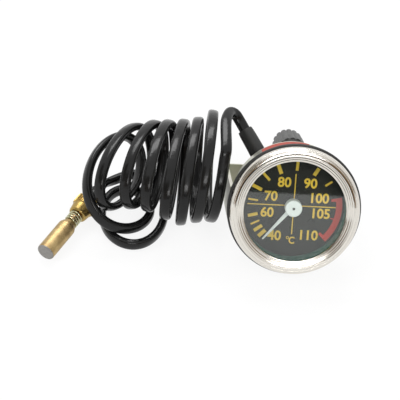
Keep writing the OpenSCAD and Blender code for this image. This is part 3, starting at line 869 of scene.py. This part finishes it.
arc_band(
    "dial_red_arc",
    [(18.8, 21.5, -45, 13), (16.9, 18.9, 9, 13), (16.9, 18.9, -45, -41.2),
     (17.4, 18.9, -16.2, -14.8)],
    red_ink,
)


TYPE_SIZE, TYPE_STEPS = 10, 6
SAME_POINT = 0.002


def figure(text, x, y, high, width, bold):
    """A flat printed figure of a given height, centred on its place on the dial."""
    curve = bpy.data.curves.new(text, "FONT")
    curve.body = text
    curve.size, curve.resolution_u = TYPE_SIZE, TYPE_STEPS
    curve.offset, curve.extrude = bold, INK / 2
    carrier = bpy.data.objects.new(text, curve)
    bpy.context.scene.collection.objects.link(carrier)
    ready = carrier.evaluated_get(bpy.context.evaluated_depsgraph_get())
    mesh = bpy.data.meshes.new_from_object(ready)
    bpy.data.objects.remove(carrier)
    corners = np.array([v.co for v in mesh.vertices])
    low, top = corners.min(axis=0), corners.max(axis=0)
    scale = high / (top[1] - low[1])
    centre = (low + top) / 2
    mesh.transform(
        Matrix.Translation((x, y, DIAL_Z + INK / 2))
        @ Matrix.Diagonal((scale * width, scale, 1, 1))
        @ Matrix.Translation((-centre[0], -centre[1], 0))
    )
    build = bmesh.new()
    build.from_mesh(mesh)
    bmesh.ops.remove_doubles(build, verts=build.verts, dist=SAME_POINT)
    build.transform(gauge)
    return shape_of("figure " + text, build)


FIGURE_SHAPE = (4.5, 0.98, 0.26)  # height, width to height of the type, boldness
FIGURES = [
    ("80", -4.3, 10.5), ("90", 7.0, 10.4), ("70", -9.7, 4.1), ("100", 11.6, 4.0),
    ("60", -10.9, -3.1), ("105", 12.6, -2.8), ("40", -7.1, -13.4), ("110", 8.0, -12.7),
]
DEGREE_SIGN = [("C", 0.6, -15.3, 3.2, 0.9, 0.26), ("o", -1.3, -14.2, 1.3, 1.0, 0.05)]
numbers = [figure(*row, *FIGURE_SHAPE) for row in FIGURES]
numbers += [figure(*row) for row in DEGREE_SIGN]
dress(joined("dial_numbers", *numbers), "case", "dial_black", yellow_ink)


def repaint(paint, *names):
    """A CAD node whose shape is right keeps it, and gets a better material."""
    for name in names:
        thing = frame["nodes"][name]
        thing.data.materials.clear()
        thing.data.materials.append(paint)


repaint(enamel, "dial_plate", "dial_screws")


# The pointer is a flat tapered blade of white lacquered metal, on a white hub with a
# small dark dimple in the middle where it is pressed on its spindle.
NEEDLE_ANGLE = 230.5
lacquer = finish(
    "white lacquer",
    tones=((0.7, 4), (0.84, 0.84, 0.82), (0.72, 0.72, 0.69)),
    gloss=((2.0, 3), 0.3, 0.2),
    grain=((3.0, 3), 0.00002, 0.3),
    centre=gauge,
)
blade = prism(
    "pointer_blade",
    [(2, -1.0), (3.6, -0.9), (5.5, -0.8), (19.1, -0.36), (19.5, 0), (19.1, 0.36), (5.5, 0.8),
     (3.6, 0.9), (2, 1.0)],
    z0=-4.2,
    z1=-3.7,
    ease=0.08,
)
blade.data.transform(gauge @ Matrix.Rotation(math.radians(NEEDLE_ANGLE), 4, "Z"))
dress(blade, "pointer", "white", lacquer, "needle")
hub = lathe(
    "pointer_hub",
    [(0, -4.4, 0), (3.7, -4.4, 0.1), (3.7, -0.9, 0.25), (3.4, -0.5, 0.25), (0.55, -0.5, 0.08),
     (0.5, -0.75, 0.1), (0, -0.8, 0)],
    gauge,
    sides=96,
)
dress(hub, "pointer", "white", lacquer, "needle_hub")
dot = lathe(
    "spindle_end",
    [(0, -0.8, 0), (0.5, -0.8, 0), (0.5, -0.49, 0.05), (0, -0.47, 0)],
    gauge,
    sides=32,
)
dress(dot, "pointer", "steel", enamel)


# The ring between the dial and the glass is moulded in dark green plastic. It stands on
# the dial, and its inner face slopes out to the glass.
moulded = finish(
    "dark green plastic",
    tones=((0.2, 4), (0.045, 0.15, 0.11), (0.025, 0.10, 0.07)),
    gloss=((0.7, 3), 0.18, 0.2),
    grain=((1.5, 2), 0.00003, 0.4),
    centre=gauge,
)
spacer = lathe(
    "spacer_moulding",
    [(25.1, -5.5, 0.1), (22.5, -5.5, 0.1), (22.6, -5.0, 0.2), (23.7, 1.2, 0.4), (24.3, 2.4, 0.15),
     (25.1, 2.4, 0.1)],
    gauge,
)
dress(spacer, "case", "green_plastic", moulded, "spacer_ring")


# A strip of plain red paper is glued round the top of the case. The bracket is bent from
# the same plated sheet as the case, and the seal under the glass is a thin rubber ring.
FIBRE = (1.6, 6, 0.7)
paper_red = finish(
    "red paper",
    tones=(FIBRE, (0.43, 0.075, 0.05), (0.30, 0.045, 0.03)),
    gloss=(FIBRE, 0.6, 0.2),
    grain=(FIBRE, 0.00004, 0.4),
    centre=gauge,
)
repaint(paper_red, "red_band")
repaint(zinc, "bracket")
repaint(rubber, "glass_seal")


# Steel fixings, zinc-plated: two studs welded to the case's back, with rolled threads, and
# the nuts and washers that draw the bracket up. The movement's small steel parts and the
# lamp's tabs have the same finish.
STUD_X, STUD_R, STUD_END = 14.5, 2.0, -55.25
THREAD_PITCH, THREAD_LEN, THREAD_FROM = 0.7, 26.0, 0.4
THREAD_WIRE, THREAD_SUNK = 0.16, 0.08
WIRE_SIDES, TURN_SIDES = 10, 40
steel = finish(
    "zinc-plated steel",
    tones=((0.5, 4), (0.66, 0.66, 0.64), (0.50, 0.50, 0.47)),
    gloss=((1.5, 4), 0.22, 0.25),
    grain=((5.0, 3), 0.00002, 0.3),
    centre=gauge,
    metallic=1.0,
)
repaint(steel, "studs", "washers", "nut_left", "nut_right")
repaint(steel, "plate_screws", "tip_link", "sector_arbor", "spindle", "lamp_terminals")

# The other tree winds a wire, from the origin up
winding, source = new_tree(
    "winding",
    Geometry="Geometry",
    Turns="Float",
    Radius="Float",
    Height="Float",
    Wire="Float",
    Paint="Material",
)
spiral = node(
    winding,
    "GeometryNodeCurveSpiral",
    {
        "Resolution": TURN_SIDES,
        "Rotations": Wire(winding, source.outputs["Turns"]),
        "Start Radius": Wire(winding, source.outputs["Radius"]),
        "End Radius": Wire(winding, source.outputs["Radius"]),
        "Height": Wire(winding, source.outputs["Height"]),
    },
)
round_wire = node(
    winding,
    "GeometryNodeCurvePrimitiveCircle",
    {"Resolution": WIRE_SIDES, "Radius": Wire(winding, source.outputs["Wire"])},
)
close_tree(
    winding,
    node(
        winding,
        "GeometryNodeCurveToMesh",
        {"Curve": spiral, "Profile Curve": round_wire, "Fill Caps": True},
    ),
    source,
)
start_point = points_with("start point", [(0, 0, 0, 0, (1, 1, 1))])
threads = [
    grown(
        "thread",
        winding,
        start_point,
        gauge @ Matrix.Translation((x, 0, STUD_END + THREAD_FROM)),
        Turns=THREAD_LEN / THREAD_PITCH,
        Radius=STUD_R - THREAD_SUNK,
        Height=THREAD_LEN,
        Wire=THREAD_WIRE,
        Paint=steel,
    )
    for x in (-STUD_X, STUD_X)
]
dress(joined("stud_threads", *threads), "case", "steel", steel)


# The movement shows only where the case is open. Its plates, posts, gears and socket are
# turned or cut from brass, and its pressure tube, capillary and spring are drawn bronze.
brass = finish(
    "turned brass",
    tones=((0.3, 4), (0.78, 0.56, 0.23), (0.60, 0.40, 0.15)),
    gloss=((0.9, 4), 0.2, 0.25),
    grain=((4.0, 3), 0.00002, 0.3),
    centre=gauge,
    metallic=1.0,
)
bronze = finish(
    "drawn bronze",
    tones=((0.3, 4), (0.48, 0.29, 0.15), (0.30, 0.18, 0.09)),
    gloss=((0.9, 4), 0.25, 0.25),
    centre=gauge,
    metallic=1.0,
)
repaint(brass, "dial_posts", "back_plate", "front_plate", "plate_pillars")
repaint(brass, "bourdon_socket", "sector_gear", "pinion", "rear_nipple")
repaint(bronze, "bourdon_tube", "inner_capillary", "hairspring")


# The lamp holder is a black moulded body that pushes into a hole in the case's back. Its
# grip has sixteen lobes, and a small capless bulb stands in its inner end.
LAMP_Y, LOBES = 19.2, 16
moulding = finish(
    "black moulding",
    tones=((0.3, 4), (0.02, 0.02, 0.02), (0.055, 0.055, 0.052)),
    gloss=((0.8, 4), 0.3, 0.3),
    grain=((3.0, 3), 0.00003, 0.5),
    centre=gauge,
)
at_lamp = gauge @ Matrix.Translation((0, LAMP_Y, 0))
holder = lathe(
    "holder",
    [(0, -42.8, 0), (3.4, -42.8, 0.3), (3.6, -43, 0.2), (6.1, -43, 0.5), (6.65, -42.2, 0.6),
     (6.65, -24.2, 0.5), (5.5, -23.5, 0.3), (5.5, -18.7, 0.3), (6.5, -18.7, 0.3), (6.5, -17.5, 0.2),
     (4.9, -17.5, 0), (4.9, -15.3, 0.3), (0, -15.3, 0)],
    at_lamp,
    sides=96,
)
lobe = prism(
    "lobe",
    [(6.3, -1.2), (6.6, -1.1), (6.9, -0.75), (7.0, -0.3), (7.0, 0.3), (6.9, 0.75), (6.6, 1.1),
     (6.3, 1.2)],
    z0=-42.8,
    z1=-24.0,
    ease=0.16,
)


def round_axis(count):
    """Points on the axis, each turned on by an equal step."""
    rows = [(0, 0, 0, 2 * math.pi * k / count, (1, 1, 1)) for k in range(count)]
    return points_with("round the axis", rows)


lobes = grown("lobes", set_out, round_axis(LOBES), at_lamp, Shape=lobe, Paint=moulding)
dress(joined("lamp_grip", holder, lobes), "lamp_unit", "black_plastic", moulding, "lamp_holder")
bulb_glass, tree, shader = material(
    "lamp glass", (0.95, 0.95, 0.92), 0.05, **{"Transmission Weight": 1.0, "IOR": 1.5})
feed(tree, shader, Roughness=noise(tree, where(tree), 0.5, 2) * 0.1 + 0.02)
repaint(bulb_glass, "lamp")


# The rubber boot is a moulded elbow that covers the capillary's outlet and grips its
# sheath. It has a rolled rim at the case, a fuller middle and a thin lip at the sheath.
BOOT_R, NIPPLE = 3.45, (-5, 3)
BOOT_RIM, BOOT_RIM_RINGS = 0.25, 1.5
BOOT_LIP, BOOT_LIP_RINGS = 0.2, 0.6
BOOT_BELLY = 0.3
BOOT_SIDES = 28
elbow = eased_line(
    [(*NIPPLE, z) for z in (-18.6, -20.4, -22.2)]
    + [(-6.1, 4.7, -24.6), (-8.6, 8.4, -26.6), (-11.2, 12.3, -28.2), (-14.3, 17, -30.4),
       (-17.4, 21.7, -32.6), BOOT_TO],
    parts=4,
)
elbow = [np.array(gauge @ Vector(p)) / MM for p in elbow]
last = len(elbow) - 1


def boot_section(ring, _reach):
    """A round whose radius changes along the boot."""
    rim = BOOT_RIM * math.exp(-ring / BOOT_RIM_RINGS)
    lip = BOOT_LIP * math.exp(-(last - ring) / BOOT_LIP_RINGS)
    radius = BOOT_R + rim - lip + BOOT_BELLY * math.sin(math.pi * ring / last)
    angles = [2 * math.pi * k / BOOT_SIDES for k in range(BOOT_SIDES)]
    return [(radius * math.cos(a), radius * math.sin(a)) for a in angles]


boot_outs = [np.array([1.0, 0, 0])] * len(elbow)
dress(tube("outlet_boot", elbow, boot_outs, boot_section), "case", "rubber", rubber, "boot")


# The end sleeve, moulded in the sheath's PVC, closes the sheath's end on the capillary's
# neck. The bulb end's own frame is in millimetres from the bulb's tip, +z to the sleeve.
sleeve = lathe(
    "sheath_sleeve",
    [(0, 35.4, 0), (2.0, 35.4, 0.1), (2.9, 35.4, 0.3), (3.2, 36.2, 0.4), (3.15, 42.4, 0.6),
     (2.7, 43.3, 0.4), (0, 43.3, 0)],
    bulb,
    sides=64,
)
dress(sleeve, "case", "sheath", pvc, "end_sleeve")


# The gland nut is turned from brass and lacquered. It has a knurled collar, and it slides
# and turns on the capillary's neck.
NUT_TEETH = 30
gold = finish(
    "lacquered brass nut",
    tones=((0.35, 4), (0.52, 0.37, 0.12), (0.30, 0.20, 0.07)),
    gloss=((1.0, 4), 0.22, 0.25),
    grain=((3.0, 3), 0.00003, 0.4),
    centre=bulb,
    metallic=1.0,
)
nut_body = lathe(
    "nut_body",
    [(1.95, 25.5, 0.1), (3.9, 25.5, 0.3), (4.25, 26.2, 0.3), (4.75, 29.6, 0.2), (4.6, 30.2, 0.15),
     (5.0, 30.4, 0.2), (5.0, 34.9, 0.2), (4.6, 35.0, 0.1), (1.95, 35.0, 0.1)],
    bulb,
    sides=120,
)
tooth = prism(
    "tooth",
    [(4.8, -0.45), (5.0, -0.38), (5.38, -0.1), (5.38, 0.1), (5.0, 0.38), (4.8, 0.45)],
    z0=30.5,
    z1=34.85,
    ease=0.07,
)
teeth = grown("teeth", set_out, round_axis(NUT_TEETH), bulb, Shape=tooth, Paint=gold)
dress(joined("knurled_nut", nut_body, teeth), "gland_nut", "brass", gold, "gland_nut")


# A coil spring of plated wire lies on the neck between the gland nut and the bulb. It has
# four turns.
plated = finish(
    "plated spring wire",
    tones=((0.8, 3), (0.60, 0.60, 0.40), (0.40, 0.38, 0.24)),
    gloss=((2.0, 3), 0.15, 0.2),
    centre=bulb,
    metallic=1.0,
)
WIRE_R, SPRING_R = 0.35, 2.9
SPRING_FROM, SPRING_LEN, SPRING_TURNS = 19.75, 5.3, 4.0
spring = grown(
    "bulb_spring",
    winding,
    start_point,
    bulb @ Matrix.Translation((0, 0, SPRING_FROM)),
    Turns=SPRING_TURNS,
    Radius=SPRING_R,
    Height=SPRING_LEN,
    Wire=WIRE_R,
    Paint=plated,
)
dress(spring, "case", "steel", plated, "neck_spring")


# The sensing bulb is a brass tube, drawn in at its neck, where the capillary is brazed in.
# Its end is closed with a plug and dipped in solder. Both are dulled by handling.
worn = finish(
    "handled brass",
    tones=((0.25, 5, 0.6), (0.53, 0.395, 0.19), (0.35, 0.245, 0.115)),
    gloss=((0.9, 5), 0.33, 0.25),
    grain=((2.0, 4), 0.00005, 0.5),
    centre=bulb,
    patchy=True,
    metallic=1.0,
)
body = lathe(
    "bulb_tube",
    [(0, 3.0, 0), (3.62, 3.0, 0), (3.62, 0.8, 0), (BULB_R, 0.7, 0.15), (BULB_R, 17.2, 0.6),
     (3.7, 18.0, 0.4), (2.5, 20.6, 0.5), (2.2, 21.3, 0.2), (0, 21.3, 0)],
    bulb,
    sides=96,
)
dress(body, "case", "bronze", worn, "bulb_body")
repaint(bronze, "neck_tube")

GRIME = (0.7, 5, 0.65)
solder = finish(
    "dull solder",
    tones=(GRIME, (0.34, 0.33, 0.31), (0.20, 0.19, 0.18)),
    gloss=(GRIME, 0.4, 0.25),
    grain=((1.6, 4), 0.00008, 0.6),
    centre=bulb,
    metallic=0.7,
)
tip = lathe(
    "bulb_end",
    [(0, 0.02, 0), (3.5, 0, 0.5), (3.95, 0.3, 0.2), (4.0, 0.75, 0.1), (3.6, 0.8, 0), (3.6, 2.98, 0),
     (0, 2.98, 0)],
    bulb,
    sides=96,
)
dress(tip, "case", "solder", solder, "bulb_tip")


# The cord's own facts: its route from where it leaves the boot, and its length along the route.
sheath_path = [p * MM for p in route]
sheath_length = sum(float(np.linalg.norm(b - a)) for a, b in zip(sheath_path, sheath_path[1:]))
